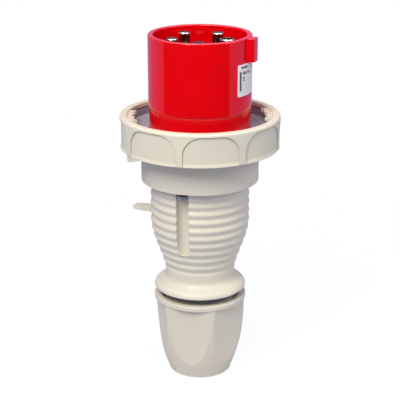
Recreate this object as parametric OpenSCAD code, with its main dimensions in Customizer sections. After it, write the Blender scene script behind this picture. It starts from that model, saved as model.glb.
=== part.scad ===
// Pin and sleeve plug, five pole with a pilot contact, watertight, for a thick round cable.
// +Z runs along the plug from the cable end to the pins. The origin is on the axis at the foot of the gland nut,
// which the plug stands on. The keying nose and the earth pin lie on +X, and the two assembly screws on Y.

/* [Contact sleeve] */
// Outer radius of the contact sleeve
sleeve_r = 35.5; // [34:0.1:37]
// Wall of the contact sleeve
sleeve_wall = 3.7; // [3:0.1:4.5]
// Height of the sleeve's rim above its deck
sleeve_len = 67.5; // [64:0.5:72]
// Depth from the rim to the face that the pins stand on
sleeve_depth = 60; // [54:0.5:62]
// Thickness of the face that the pins stand on
face_t = 6; // [5:0.5:8]
// How far the foot of the sleeve stands back
foot_step = 0.4; // [0.2:0.1:0.8]
// Height of that foot above the deck
foot_h = 17.3; // [14:0.1:20]
// Thickness of the deck, which holds the bayonet ring down and carries the gasket
deck_h = 4.5; // [4:0.1:5.5]
// Length of the spigot below the deck
spigot_len = 10; // [9.5:0.5:12]
// Rounding of the sleeve's rim
rim_round = 0.7; // [0.3:0.1:1.2]

/* [Nose and label] */
// Width of the keying nose
nose_w = 9; // [8:0.5:11]
// How far the nose stands out from the sleeve
nose_out = 4.5; // [3.5:0.1:6]
// Height of the nose, down from the rim
nose_h = 16; // [12:0.5:20]
// Rounding of the nose's outer corners
nose_round = 1.5; // [0.5:0.1:2.5]
// Fillet at the root of the nose
nose_fillet = 2; // [1:0.1:3]
// Width of the label
label_w = 22; // [16:0.5:30]
// Height of the label
label_h = 21.5; // [15:0.5:24]
// Rounding of the label's corners
label_round = 1; // [0.5:0.1:2]
// Direction of the label's middle
label_turn = -6.5; // [-15:0.5:15]
// Thickness of the label
label_t = 0.3; // [0.2:0.05:0.5]

/* [Contacts] */
// Radius of the circle that the five pins stand on
pin_circle = 19.6; // [18:0.1:20]
// Diameter of the line and neutral pins
pin_d = 8; // [7:0.1:9]
// Diameter of the earth pin
earth_d = 10; // [9:0.1:11]
// Diameter of the pilot pin in the middle
pilot_d = 6; // [5:0.1:7]
// How far the tips of the five pins lie below the rim
tip_drop = 1.8; // [1:0.1:5]
// How far the tip of the pilot pin lies below the rim
pilot_drop = 10.6; // [9:0.2:16]
// Rounding of the pins' tips
tip_round = 1.2; // [0.6:0.1:1.8]
// Diameter of the terminal barrel behind each pin
barrel_d = 12.4; // [11.5:0.1:13]
// Length of the terminal barrels behind the pin face
barrel_len = 35; // [32:0.5:38]
// Diameter of the terminal barrel behind the pilot pin
pilot_barrel_d = 8.4; // [7:0.1:9.5]
// Diameter of the conductor hole in a terminal barrel
wire_d = 8.4; // [7:0.1:9]
// Diameter of the conductor hole behind the pilot pin
pilot_wire_d = 4; // [3:0.1:5]
// Depth of the conductor holes
wire_depth = 17; // [14:0.5:19]
// Diameter of the collar that holds a pin in its carrier
pin_collar_d = 15; // [14:0.1:16]
// Thickness of that collar
pin_collar_h = 3; // [2:0.1:4]
// Diameter of the terminal screws
terminal_screw_d = 5; // [4:0.1:5.5]
// How far a terminal screw stands out of its barrel
terminal_screw_out = 1; // [0.5:0.1:2]
// Spacing of the two terminal screws of a barrel
terminal_screw_pitch = 8; // [7:0.1:9]

/* [Pin carrier] */
// Thickness of the pin carrier
carrier_h = 14.5; // [12:0.5:16]
// Thickness of the plate that locks the pins in the carrier
lock_plate_h = 3; // [2.5:0.1:4]
// Thickness of the barriers between the terminals
barrier_t = 1.6; // [1.2:0.1:2.4]
// Height of the barriers below the lock plate
barrier_h = 16; // [12:0.5:18]
// Diameter of the screws that hold the lock plate
plate_screw_d = 3; // [2.5:0.1:3.5]
// How deep those screws reach into the pin face
plate_screw_grip = 3.5; // [2.5:0.1:4]

/* [Bayonet ring] */
// Outer radius of the bayonet ring
ring_r = 55.5; // [54:0.1:58]
// How far the ring's rim turns inwards
rim_w = 5.5; // [4.6:0.1:6.5]
// Wall of the ring under its rim
ring_wall = 3.5; // [3:0.1:4]
// Thickness of the rim that turns inwards
rim_t = 3.2; // [2.6:0.1:4]
// Height of the ring
ring_h = 22.8; // [21.5:0.1:24]
// Rounding of the ring's rim
ring_round = 1.8; // [1:0.1:2.2]
// Number of grip panels
panel_count = 8; // [6:1:10]
// Depth of the grip panels
panel_depth = 1; // [0.5:0.1:1.4]
// Width of the ribs between the panels
rib_w = 4.5; // [3:0.1:7]
// Rounding of the panels' upper corners
panel_round = 12; // [6:0.5:14]
// Distance from the rim down to the panels
panel_drop = 2.1; // [1.9:0.1:4]
// Direction of the first rib
rib_angle = 6.3; // [0:0.1:44]
// Thickness of the web that turns on the collar
web_h = 3.5; // [2.5:0.1:4]
// Number of stiffening ribs under the web
web_rib_count = 16; // [8:4:24]
// Inner radius of the two bayonet lugs
lug_in = 45.2; // [43.8:0.1:46]
// Thickness of the bayonet lugs
lug_t = 2; // [1.6:0.1:2.2]
// Direction at which the first lug starts
lug_start = 8; // [0:0.5:12]
// Width of a lug in degrees
lug_span = 33; // [28:0.5:45]
// Distance from the top of the lugs up to the rim
lug_drop = 0.8; // [0.7:0.1:1.2]
// How far the ring turns to lock
lock_turn = 50; // [40:1:60]
// Depth of the pull tab below the ring
tab_h = 4.2; // [3:0.1:5]
// Length of the pull tab along the ring
tab_len = 17; // [12:0.5:20]

/* [Gasket] */
// Thickness of the face gasket
gasket_h = 3.5; // [2.5:0.1:4]
// Height of the gasket's outer lip above its face
gasket_lip_h = 4.3; // [3:0.1:5]
// Distance from the gasket's lip up to the rim of the ring
gasket_gap = 1.2; // [1.2:0.1:2]
// Depth of the grooves in the gasket's face
gasket_groove = 0.5; // [0.4:0.1:1.4]

/* [Housing] */
// Outer radius of the collar under the bayonet ring
collar_r = 41; // [40:0.1:43]
// Height of the collar
collar_h = 29.8; // [28:0.2:34]
// Wall of the collar
collar_wall = 4.9; // [4.5:0.1:5.4]
// Radius of the handle under the collar
handle_r = 34.8; // [34:0.1:36]
// Radius of the handle at its waist
waist_r = 24.3; // [23.5:0.1:27]
// Height of the housing from the flange's underside to the collar
handle_h = 80; // [74:0.2:90]
// Distance from the collar down to where the handle starts to narrow
straight_h = 28.2; // [20:0.2:32]
// Wall of the handle
handle_wall = 3.3; // [2.6:0.1:3.6]
// Number of grip ribs
rib_count = 9; // [6:1:11]
// Distance from the collar to the first groove
rib_first = 7.5; // [5:0.5:10]
// Height of the last groove above the flange's underside
rib_last = 17.5; // [16:0.5:20]
// Depth of the grooves between the grip ribs
groove_d = 1.1; // [0.4:0.1:1.2]
// Radius of the lower flange
flange_r = 32.5; // [31:0.1:33]
// Rounding of the flange's outer edge
flange_round = 4; // [2.5:0.1:4.5]
// Radius of the flare from the waist out to the flange
flare_r = 5; // [3:0.1:6]
// Length of the side lug beyond the handle
side_lug_len = 16; // [10:0.5:20]
// Width of the side lug
side_lug_w = 5; // [4:0.5:8]
// Thickness of the side lug at its tip
side_lug_t = 3.2; // [2.6:0.1:4]
// Distance from the collar down to the side lug's middle
side_lug_down = 27.2; // [20:0.2:36]

/* [Assembly screws] */
// Wall of the spigot outside the threaded inserts
insert_wall = 1.1; // [0.9:0.1:1.6]
// Diameter of the assembly screws
screw_d = 4; // [3.5:0.1:4.4]
// Diameter of the screw heads
head_d = 6.8; // [6.4:0.1:7.2]
// Height of the screw heads
head_h = 2.4; // [2:0.1:3.6]
// Thickness of the rubber washer under each head
washer_h = 3.2; // [1.5:0.1:3.6]
// Width of the screwdriver channels
channel_w = 9; // [8.5:0.1:10]
// Length of the screwdriver channels below the collar
channel_len = 48.5; // [40:0.5:54]
// Length of the threaded inserts
insert_h = 9; // [8:0.5:12]
// Diameter of the threaded inserts
insert_d = 5.4; // [5.2:0.1:5.6]

/* [Gland] */
// Height of the gland nut
nut_h = 60; // [56:0.5:64]
// Gap between the flange and the nut, as the nut stands
nut_gap = 5.2; // [4.6:0.1:6]
// Radius of the nut's lip
nut_r = 32.7; // [31.5:0.1:33.5]
// Radius of the nut's foot
nut_foot_r = 22.6; // [21.5:0.1:24]
// Radius of the cable entry
entry_r = 18; // [16:0.1:18.6]
// Distance from the axis to the nut's flats, at the top
flat_dist = 29.1; // [29:0.1:30.5]
// Lean of the nut's flats in degrees
flat_lean = 3.8; // [2.5:0.1:5]
// Height of the nut's round lip
lip_h = 3.2; // [2.4:0.1:5]
// Crest radius of the thread on the housing's neck
thread_r = 24.8; // [24.4:0.1:25]
// Depth of the thread
thread_d = 1.2; // [0.8:0.1:1.4]
// Pitch of the thread
thread_pitch = 3; // [2.5:0.5:4]
// Length of the neck below the flange
neck_len = 31.2; // [28:0.5:33]
// Inner radius of the neck
neck_bore = 20; // [19:0.1:20.4]
// Inner radius of the rubber gland seal
seal_bore = 14; // [12:0.5:16]
// Thickness of the seal's flange
seal_flange_h = 5; // [4:0.1:6]
// Length of the seal inside the neck
seal_in_len = 12; // [9:0.5:15]
// Thickness of the slip ring under the seal
slip_h = 2.5; // [2:0.1:3]
// Number of fingers of the clamp cage
finger_count = 10; // [8:1:12]
// Section radius of the rubber ring on the neck
neck_ring_s = 1.7; // [1.4:0.05:1.8]
// Distance from the flange down to that ring
neck_ring_drop = 0.8; // [0.4:0.1:1]

/* [Clearances] */
// Clearance between pieces that turn or slide on each other
run_gap = 0.3; // [0.3:0.01:0.4]
// Clearance between pieces that are fitted together
fit_gap = 0.1; // [0.05:0.01:0.2]

/* [Hidden] */
$fn = 96;

// Levels along the axis
flange_z = nut_h + nut_gap;
neck_z = flange_z - neck_len;
collar_z = flange_z + handle_h;
deck_z = collar_z + collar_h;
deck_top = deck_z + deck_h;
gasket_top = deck_top + gasket_h;
gasket_lip_top = gasket_top + gasket_lip_h;
ring_top = gasket_lip_top + gasket_gap + rim_t;
ring_z = ring_top - ring_h;
rim_z = deck_top + sleeve_len;
face_z = rim_z - sleeve_depth;
face_back = face_z - face_t;

// The contact sleeve and what it holds
sleeve_in = sleeve_r - sleeve_wall;
foot_r = sleeve_r - foot_step;
socket_r = collar_r - collar_wall;
spigot_r = socket_r - run_gap;
spigot_z = deck_z - spigot_len;
spigot_wall = 4.1;
spigot_in = min(sleeve_in - fit_gap, spigot_r - spigot_wall);
screw_circle = spigot_r - insert_wall - insert_d / 2;
insert_boss_r = insert_d / 2 + insert_wall;
carrier_r = spigot_in - run_gap;
carrier_z = face_back - carrier_h;
plate_z = carrier_z - lock_plate_h;
barrel_z = face_back - barrel_len;
collar_in = pin_collar_d / 2 + fit_gap;
pin_turn = 360 / 5;
pilot_collar_d = pilot_barrel_d + 3;
dimple_depth = 0.8;
pin_step = 0.6;
o_ring_s = 1.1;
o_ring_r = (socket_r + collar_r) / 2;
deck_r = collar_r + 2;
key_out = 2;
key_w = 5;
key_angle = 90;
plate_screw_r = pin_circle + 5;
plate_screw_top = face_back + plate_screw_grip;

// The housing
shoulder_t = 3.4;
boss_r = head_d / 2 + 1.4;
boss_top = spigot_z - fit_gap;
channel_round = channel_w / 2;
channel_wall = 2.4;
rib_end = flange_z + rib_last;
rib_pitch = (collar_z - rib_first - rib_end) / rib_count;
neck_r = thread_r - thread_d;
ring_seat_z = flange_z - neck_ring_drop - 2 * neck_ring_s - 0.4;

// The flare between the waist and the flange: a hollow arc, a short cone and the flange's rounded edge
edge_z = flange_z + 0.6;
flare_end = [waist_r + flare_r * (1 - cos(70)), edge_z + flange_round * sin(70)
    + (flange_r - flange_round * (1 - cos(70)) - waist_r - flare_r * (1 - cos(70))) * tan(20)];
flare_z = flare_end.y + flare_r * sin(70);
narrow_z = flare_z - 2;

// The bayonet ring and what it turns on
ring_bore = ring_r - rim_w;
ring_in = ring_r - ring_wall;
web_in = collar_r + run_gap;
web_z = deck_z - run_gap - web_h;
web_top = deck_top - run_gap;
hub_in = deck_r + run_gap;
hub_out = hub_in + min(4, (ring_in - hub_in) / 2);
bead_h = 1.5;
bead_r = collar_r + 1.2;
bead_z = web_z - run_gap - bead_h;

// The gland
lip_z = nut_h - lip_h;
nut_bore = thread_r + run_gap;
nut_pocket_r = thread_r + 2 * neck_ring_s + 0.3;
seal_z = neck_z - seal_flange_h;
slip_z = seal_z - run_gap - slip_h;
cage_r = thread_r - thread_d + 0.2;
cage_h = 4;
cage_z = slip_z - cage_h;
ledge_z = cage_z - run_gap;
finger_out = entry_r + 2.3;
finger_in = entry_r + 0.3;
floor_t = 6;
finger_z = floor_t + run_gap;

// Points on an arc round [cx, cz] from angle a to angle b
function arc(cx, cz, r, a, b, n) = [for (i = [0:n]) [cx + r * cos(a + (b - a) * i / n), cz + r * sin(a + (b - a) * i / n)]];

// Radius of the handle's ribs at the height z: straight under the collar, then narrowing to the waist
function handle_at(z) =
    let (u = (collar_z - straight_h - z) / (collar_z - straight_h - narrow_z))
    u <= 0 ? handle_r : handle_r - (handle_r - waist_r) * (1 - cos(180 * min(u, 1))) / 2;

// Red sleeve: rim, foot, deck under the gasket, spigot in the housing and pin face
module sleeve_profile() {
    polygon(concat(
        arc(sleeve_r - rim_round, rim_z - rim_round, rim_round, 90, 0, 5),
        [[sleeve_r, deck_top + foot_h + foot_step], [foot_r, deck_top + foot_h], [foot_r, deck_top],
         [deck_r, deck_top], [deck_r, deck_z], [spigot_r, deck_z], [spigot_r, spigot_z],
         [spigot_in, spigot_z], [spigot_in, face_back], [0, face_back], [0, face_z], [sleeve_in, face_z]],
        arc(sleeve_in + rim_round, rim_z - rim_round, rim_round, 180, 90, 5)
    ));
}

// Plan of the nose, rounded outside and filleted at its root
module nose_plan() {
    out = sleeve_r + nose_out;
    fillet_x = sqrt(pow(sleeve_r + nose_fillet, 2) - pow(nose_w / 2 + nose_fillet, 2));
    foot_share = sleeve_r / (sleeve_r + nose_fillet);
    root = sleeve_r - sleeve_wall / 2;
    translate([root, -nose_w / 2]) square([out - nose_round - root, nose_w]);
    translate([root, -nose_w / 2 + nose_round]) square([out - root, nose_w - 2 * nose_round]);
    for (s = [-1, 1]) {
        translate([out - nose_round, s * (nose_w / 2 - nose_round)]) circle(nose_round, $fn = 32);
        difference() {
            polygon([[root, 0], [fillet_x, 0], [fillet_x, s * (nose_w / 2 + nose_fillet)],
                     [fillet_x * foot_share, s * (nose_w / 2 + nose_fillet) * foot_share],
                     [root, s * nose_w / 2]]);
            translate([fillet_x, s * (nose_w / 2 + nose_fillet)]) circle(nose_fillet, $fn = 32);
        }
    }
}

module contact_sleeve() {
    color("#d8000c") {
        difference() {
            union() {
                rotate_extrude() sleeve_profile();
                translate([0, 0, rim_z - nose_h]) linear_extrude(nose_h - 0.3) nose_plan();
                rotate(key_angle) translate([deck_r - 1, -key_w / 2, deck_z]) cube([1 + key_out, key_w, deck_h]);
                intersection() {
                    translate([0, 0, spigot_z]) cylinder(r = spigot_in + 0.5, h = face_back - spigot_z + 0.5);
                    at_screws() translate([0, 0, spigot_z]) cylinder(r = insert_boss_r, h = face_back - spigot_z + 0.5);
                }
            }
            for (i = [0:4]) rotate(i * pin_turn) translate([pin_circle, 0, face_back - 1])
                cylinder(d = (i == 0 ? earth_d : pin_d) + 2 * (pin_step + fit_gap), h = face_t + 2);
            translate([0, 0, face_back - 1]) cylinder(d = pilot_d + 2 * (pin_step + fit_gap), h = face_t + 2);
            at_plate_screws() translate([0, 0, face_back - 1]) cylinder(d = plate_screw_d, h = plate_screw_grip + 1.5);
            at_screws() translate([0, 0, spigot_z - 1]) cylinder(d = insert_d, h = insert_h + 1);
            at_screws() translate([0, 0, spigot_z - 1]) cylinder(d = screw_d + 2 * fit_gap, h = insert_h + 3);
        }
    }
}

// Places its children at the two assembly screws
module at_screws() {
    for (s = [-1, 1]) translate([0, s * screw_circle, 0]) children();
}

// Holes for the terminal barrels and for the pilot's, in the carrier and the lock plate
module barrel_holes(z, h, gap) {
    for (i = [0:4]) rotate(i * pin_turn) translate([pin_circle, 0, z]) cylinder(d = barrel_d + 2 * gap, h = h);
    translate([0, 0, z]) cylinder(d = pilot_barrel_d + 2 * gap, h = h);
}

// Grooves that clear the two screw bosses inside the spigot
module boss_grooves(z, h) {
    at_screws() translate([0, 0, z]) cylinder(r = boss_r + run_gap, h = h);
}

// Places its children at the five screws of the lock plate, between the terminals
module at_plate_screws() {
    for (i = [0:4]) rotate((i + 0.5) * pin_turn) translate([plate_screw_r, 0, 0]) children();
}

module pin_carrier() {
    color("#3b3d40") difference() {
        translate([0, 0, carrier_z]) cylinder(r = carrier_r, h = carrier_h);
        barrel_holes(carrier_z - 1, carrier_h + 2, fit_gap);
        for (i = [0:4]) rotate(i * pin_turn) translate([pin_circle, 0, carrier_z - 1])
            cylinder(r = collar_in, h = pin_collar_h + 1 + fit_gap);
        translate([0, 0, carrier_z - 1]) cylinder(d = pilot_collar_d + 2 * fit_gap, h = pin_collar_h + 1 + fit_gap);
        boss_grooves(carrier_z - 1, carrier_h + 2);
        at_plate_screws() translate([0, 0, carrier_z - 1])
            cylinder(d = plate_screw_d + 2 * fit_gap, h = carrier_h + 2);
    }
}

module lock_plate() {
    color("#e6e4dc") difference() {
        union() {
            translate([0, 0, plate_z]) cylinder(r = carrier_r, h = lock_plate_h);
            for (i = [0:4]) rotate((i + 0.5) * pin_turn)
                translate([pilot_barrel_d, -barrier_t / 2, plate_z - barrier_h])
                    cube([plate_screw_r - plate_screw_d - 0.5 - pilot_barrel_d, barrier_t, barrier_h + 1]);
        }
        barrel_holes(plate_z - barrier_h - 1, barrier_h + lock_plate_h + 2, fit_gap);
        boss_grooves(plate_z - barrier_h - 1, barrier_h + lock_plate_h + 2);
        at_plate_screws() translate([0, 0, plate_z - 1])
            cylinder(d = plate_screw_d + 2 * fit_gap, h = lock_plate_h + 2);
    }
}

module plate_screws() {
    color("#b9bec4") at_plate_screws() {
        translate([0, 0, plate_z]) cylinder(d = plate_screw_d, h = plate_screw_top - plate_z);
        difference() {
            translate([0, 0, plate_z - 2]) cylinder(d = 2 * plate_screw_d, h = 2);
            cross_recess(plate_z - 2, plate_screw_d, 1);
        }
    }
}

// Cross recess in a screw head that looks down, cut upwards from the height z
module cross_recess(z, w, depth) {
    for (a = [0, 90]) rotate(a) translate([-w / 2, -w / 8, z - 1]) cube([w, w / 4, depth + 1]);
}

// One contact: rounded and dimpled tip, shaft, barrel with its collar and the conductor hole
module contact(d, tip_z, back_d, collar_d, hole_d) {
    dimple_r = d / 2 - tip_round;
    ball_r = (pow(dimple_r, 2) + pow(dimple_depth, 2)) / (2 * dimple_depth);
    translate([pin_circle, 0, 0]) difference() {
        rotate_extrude($fn = 48) polygon(concat(
            [[0, tip_z]],
            arc(d / 2 - tip_round, tip_z - tip_round, tip_round, 90, 0, 4),
            [[d / 2, face_z], [d / 2 + pin_step, face_z], [d / 2 + pin_step, face_back],
             [back_d / 2, face_back], [back_d / 2, carrier_z + pin_collar_h],
             [collar_d / 2, carrier_z + pin_collar_h], [collar_d / 2, carrier_z], [back_d / 2, carrier_z],
             [back_d / 2, barrel_z], [0, barrel_z]]
        ));
        translate([0, 0, tip_z - dimple_depth + ball_r]) sphere(ball_r, $fn = 48);
        translate([0, 0, barrel_z - 1]) cylinder(d = hole_d, h = wire_depth + 1);
        for (k = [0, 1]) terminal_hole(k);
    }
}

// Height of the k-th terminal screw
function terminal_z(k) = barrel_z + 4 + k * terminal_screw_pitch;

module terminal_hole(k) {
    translate([0, 0, terminal_z(k)]) rotate([0, 90, 0]) cylinder(d = terminal_screw_d, h = barrel_d, $fn = 32);
}

module main_contact(i, d) {
    rotate(i * pin_turn) contact(d, rim_z - tip_drop, barrel_d, pin_collar_d, wire_d);
}

module earth_pin() { color("#c9ccd0") main_contact(0, earth_d); }
module line_pin_1() { color("#c9ccd0") main_contact(1, pin_d); }
module line_pin_2() { color("#c9ccd0") main_contact(2, pin_d); }
module line_pin_3() { color("#c9ccd0") main_contact(3, pin_d); }
module neutral_pin() { color("#c9ccd0") main_contact(4, pin_d); }

module pilot_pin() {
    color("#c9ccd0") translate([-pin_circle, 0, 0])
        contact(pilot_d, rim_z - pilot_drop, pilot_barrel_d, pilot_collar_d, pilot_wire_d);
}

// Grub screws that clamp the conductors, two to a barrel
module terminal_screws() {
    color("#b9bec4") {
        for (i = [0:4]) rotate(i * pin_turn) for (k = [0, 1])
            terminal_screw(pin_circle, terminal_z(k), wire_d / 2, barrel_d / 2);
        for (k = [0, 1]) terminal_screw(0, terminal_z(k), pilot_wire_d / 2, pilot_barrel_d / 2);
    }
}

module terminal_screw(x, z, start, wall) {
    len = wall + terminal_screw_out - start;
    translate([x + start, 0, z]) rotate([0, 90, 0]) difference() {
        cylinder(d = terminal_screw_d, h = len, $fn = 32);
        translate([-terminal_screw_d, -0.4, len - 1]) cube([2 * terminal_screw_d, 0.8, 2]);
    }
}

module rating_label() {
    top = rim_z - nose_h - 0.5;
    color("#d5d5d3") rotate(label_turn) intersection() {
        translate([0, 0, top - label_h - 1]) difference() {
            cylinder(r = sleeve_r + label_t, h = label_h + 2);
            translate([0, 0, -1]) cylinder(r = sleeve_r, h = label_h + 4);
        }
        translate([sleeve_r / 2, 0, top - label_h / 2]) rotate([90, 0, 90]) linear_extrude(sleeve_r) {
            square([label_w - 2 * label_round, label_h], center = true);
            square([label_w, label_h - 2 * label_round], center = true);
            for (x = [-1, 1], y = [-1, 1])
                translate([x * (label_w / 2 - label_round), y * (label_h / 2 - label_round)])
                    circle(label_round, $fn = 32);
        }
    }
}

// Rubber washer on the deck, with round grooves in its face and a lip that stands up inside the ring
module face_gasket() {
    inner = foot_r + fit_gap;
    outer = ring_in - run_gap - fit_gap;
    lip_in = outer - 2.2;
    groove_count = 4;
    pitch = (lip_in - inner) / (groove_count + 1);
    top_w = 0.34 * pitch;
    floor_w = 0.15 * pitch;
    color("#8f8593") rotate_extrude() polygon(concat(
        [[inner, deck_top], [outer, deck_top], [outer, gasket_lip_top], [lip_in, gasket_lip_top], [lip_in, gasket_top]],
        [for (i = [groove_count:-1:1]) let (c = inner + i * pitch)
            each [[c + top_w, gasket_top], [c + floor_w, gasket_top - gasket_groove],
                  [c - floor_w, gasket_top - gasket_groove], [c - top_w, gasket_top]]],
        [[inner, gasket_top]]
    ));
}

// Section of the bayonet ring: skirt and wall, rim that turns inwards, web and the hub that turns on the collar
module ring_profile() {
    chamfer = 0.6;
    polygon(concat(
        [[ring_r - chamfer, ring_z], [ring_r, ring_z + chamfer]],
        arc(ring_r - ring_round, ring_top - ring_round, ring_round, 0, 90, 6),
        [[ring_bore + chamfer, ring_top], [ring_bore, ring_top - chamfer], [ring_bore, ring_top - rim_t],
         [ring_in, ring_top - rim_t], [ring_in, web_top], [hub_in, web_top], [hub_in, web_z + web_h],
         [web_in, web_z + web_h], [web_in, web_z], [hub_out, web_z], [hub_out, web_top - web_h],
         [ring_in, web_top - web_h], [ring_in, ring_z]]
    ));
}

// Outline of one grip panel, seen square on, with its foot at the ring's lower edge
module panel_outline() {
    pitch = 2 * ring_r * sin(180 / panel_count);
    w = round(10 * (pitch - rib_w)) / 10;
    h = ring_h - panel_drop + 1;
    translate([-w / 2, -1]) square([w, h - panel_round]);
    translate([-w / 2 + panel_round, -1]) square([w - 2 * panel_round, h]);
    for (s = [-1, 1]) translate([s * (w / 2 - panel_round), h - 1 - panel_round]) circle(panel_round);
}

module grip_panels() {
    for (i = [0:panel_count - 1]) rotate(rib_angle + (i + 0.5) * 360 / panel_count) intersection() {
        difference() {
            translate([0, 0, ring_z - 1]) cylinder(r = ring_r + 2, h = ring_h);
            rotate_extrude() polygon([[0, ring_z - 2], [ring_r - 0.3, ring_z - 2], [ring_r - 0.3, ring_z],
                                      [ring_r - panel_depth, ring_z + 2.5], [ring_r - panel_depth, ring_top],
                                      [0, ring_top]]);
        }
        translate([ring_r / 2, 0, ring_z]) rotate([90, 0, 90]) linear_extrude(ring_r) panel_outline();
    }
}

// One bayonet lug under the rim, with a wavy inner edge
module bayonet_lug() {
    lug_z = ring_top - lug_drop - lug_t;
    difference() {
        rotate_extrude(angle = lug_span) translate([lug_in, lug_z]) square([ring_in + 0.5 - lug_in, lug_t]);
        for (k = [0:2]) rotate((k + 0.5) * lug_span / 3)
            translate([lug_in - 1.8, 0, lug_z - 1]) cylinder(r = 3.4, h = lug_t + 2, $fn = 48);
    }
}

// Ramp-shaped pull tab that hangs from the ring's skirt
module pull_tab() {
    rotate(rib_angle - 3 * 360 / panel_count + 4.5) intersection() {
        difference() {
            translate([0, 0, ring_z - tab_h - 1]) cylinder(r = ring_r - 0.6, h = tab_h + 3);
            translate([0, 0, ring_z - tab_h - 2]) cylinder(r = ring_in + 0.4, h = tab_h + 5);
        }
        translate([ring_r / 2, 0, ring_z]) rotate([90, 0, 90]) linear_extrude(ring_r)
            polygon([[-tab_len / 2, 1], [-tab_len / 2, -tab_h + 0.8], [-tab_len / 2 + 0.8, -tab_h],
                     [-tab_len / 4, -tab_h], [tab_len / 2, 0.3], [tab_len / 2, 1]]);
    }
}

// Groove in which the deck's key runs from one end of the ring's turn to the other
module key_groove() {
    key_half = key_w / 2 / deck_r * 180 / PI;
    rotate(key_angle - key_half - lock_turn - 1) rotate_extrude(angle = lock_turn + 2 * key_half + 2)
        translate([hub_in - 1, web_z + web_h]) square([1 + key_out + run_gap, deck_h + 1]);
}

module bayonet_ring() {
    color("#d8d2c0") {
        difference() {
            union() {
                rotate_extrude() ring_profile();
                for (i = [0:web_rib_count - 1]) rotate(rib_angle + i * 360 / web_rib_count)
                    translate([hub_out - 0.5, -0.8, web_z]) cube([ring_in - hub_out + 1, 1.6, web_top - web_h - web_z + 0.5]);
            }
            grip_panels();
            key_groove();
        }
        for (a = [0, 180]) rotate(lug_start + a) bayonet_lug();
        pull_tab();
    }
}

// Outer section of the housing, from the collar's top down to the neck's end
module housing_profile() {
    collar_round = 0.4;
    collar_fillet = 1;
    wave = [-1, -0.75, -0.5, -0.25, 0, 0.25, 0.5, 0.75];
    thread_top = ring_seat_z - 2.2;
    thread_count = floor((thread_top - neck_z - 2) / thread_pitch);
    polygon(concat(
        [[0, deck_z], [collar_r, deck_z], [collar_r, bead_z + bead_h], [bead_r, bead_z + bead_h],
         [bead_r, bead_z + 0.5], [collar_r, bead_z - 0.7]],
        arc(collar_r - collar_round, collar_z + collar_round, collar_round, 0, -90, 5),
        arc(handle_r + collar_fillet, collar_z - collar_fillet, collar_fillet, 90, 180, 4),
        [[handle_r, collar_z - rib_first + rib_pitch / 2]],
        [for (i = [0:rib_count]) for (s = i < rib_count ? wave : [-1, -0.75, -0.5, -0.25])
            let (z = collar_z - rib_first - (i + (s + 1) / 2) * rib_pitch)
            [handle_at(z) - groove_d * (1 - cos(180 * s)) / 2, z]],
        arc(waist_r + flare_r, flare_z, flare_r, 180, 250, 6),
        arc(flange_r - flange_round, edge_z, flange_round, 70, 0, 7),
        [[flange_r - 0.2, flange_z + 0.2], [flange_r - 0.6, flange_z]],
        [[thread_r, flange_z], [thread_r, ring_seat_z], [neck_r, ring_seat_z - 0.8]],
        [for (k = [0:thread_count]) let (z = thread_top - k * thread_pitch)
            each [[neck_r, z + 1], [thread_r, z + 0.35], [thread_r, z - 0.35], [neck_r, z - 1]]],
        [[neck_r, neck_z + 0.8], [neck_r - 0.8, neck_z], [0, neck_z]]
    ));
}

// Hollow of the housing, from the socket of the sleeve down through the neck
module housing_hollow() {
    inner_r = handle_r - handle_wall;
    floor_z = collar_z + shoulder_t;
    n = 8;
    z_top = collar_z - straight_h;
    difference() {
        rotate_extrude() polygon(concat(
            [[0, deck_z + 1], [socket_r, deck_z + 1], [socket_r, floor_z], [inner_r, floor_z]],
            [for (i = [0:n]) let (z = z_top - (z_top - flare_z) * i / n)
                [max(handle_at(z) - handle_wall, neck_bore), z]],
            [[neck_bore, flare_z - 2], [neck_bore, neck_z - 1], [0, neck_z - 1]]
        ));
        at_screws() translate([0, 0, collar_z]) cylinder(r = boss_r, h = boss_top - collar_z);
        for (s = [0, 180]) rotate(s) translate([0, screw_circle, collar_z - channel_len - channel_wall])
            linear_extrude(channel_len + channel_wall + shoulder_t) channel_plan(channel_round + channel_wall);
    }
}

// Plan of a screwdriver channel or of the wall behind it, round towards the axis
module channel_plan(r) {
    circle(r, $fn = 64);
    translate([-r, 0]) square([2 * r, collar_r]);
}

// Screwdriver channel under each assembly screw, with a round lower end
module channels() {
    end_r = channel_round + 0.3;
    for (s = [0, 180]) rotate(s) translate([0, screw_circle, collar_z - channel_len]) intersection() {
        linear_extrude(channel_len) channel_plan(channel_round);
        translate([0, 0, end_r]) {
            translate([-channel_w, -channel_w, 0]) cube([2 * channel_w, 2 * collar_r, channel_len]);
            translate([0, -channel_w, 0]) rotate([-90, 0, 0]) cylinder(r = end_r, h = 2 * collar_r, $fn = 64);
        }
    }
}

// Lug on the back of the handle, thicker at its root and round at its tip
module side_lug() {
    tip_x = handle_r + side_lug_len;
    mid_z = collar_z - side_lug_down;
    root_x = handle_r - handle_wall / 2;
    rotate(180) translate([0, side_lug_w / 2, mid_z]) rotate([90, 0, 0]) linear_extrude(side_lug_w) {
        polygon([[root_x, side_lug_t * 1.6], [handle_r + 1, side_lug_t * 1.4], [handle_r + 5, side_lug_t * 0.7],
                 [tip_x - side_lug_t / 2, side_lug_t / 2], [tip_x - side_lug_t / 2, -side_lug_t / 2],
                 [handle_r + 2, -side_lug_t * 0.7], [root_x, -side_lug_t * 0.8]]);
        translate([tip_x - side_lug_t / 2, 0]) circle(side_lug_t / 2, $fn = 32);
    }
}

module housing() {
    color("#d8d2c0") {
        difference() {
            union() {
                rotate_extrude() housing_profile();
                side_lug();
            }
            housing_hollow();
            channels();
            rotate_extrude() translate([o_ring_r - o_ring_s - fit_gap, deck_z - 2 * o_ring_s])
                square([2 * (o_ring_s + fit_gap), 2 * o_ring_s + 1]);
            at_screws() translate([0, 0, collar_z - 1]) cylinder(d = screw_d + 2 * fit_gap, h = collar_h);
        }
    }
}

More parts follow.
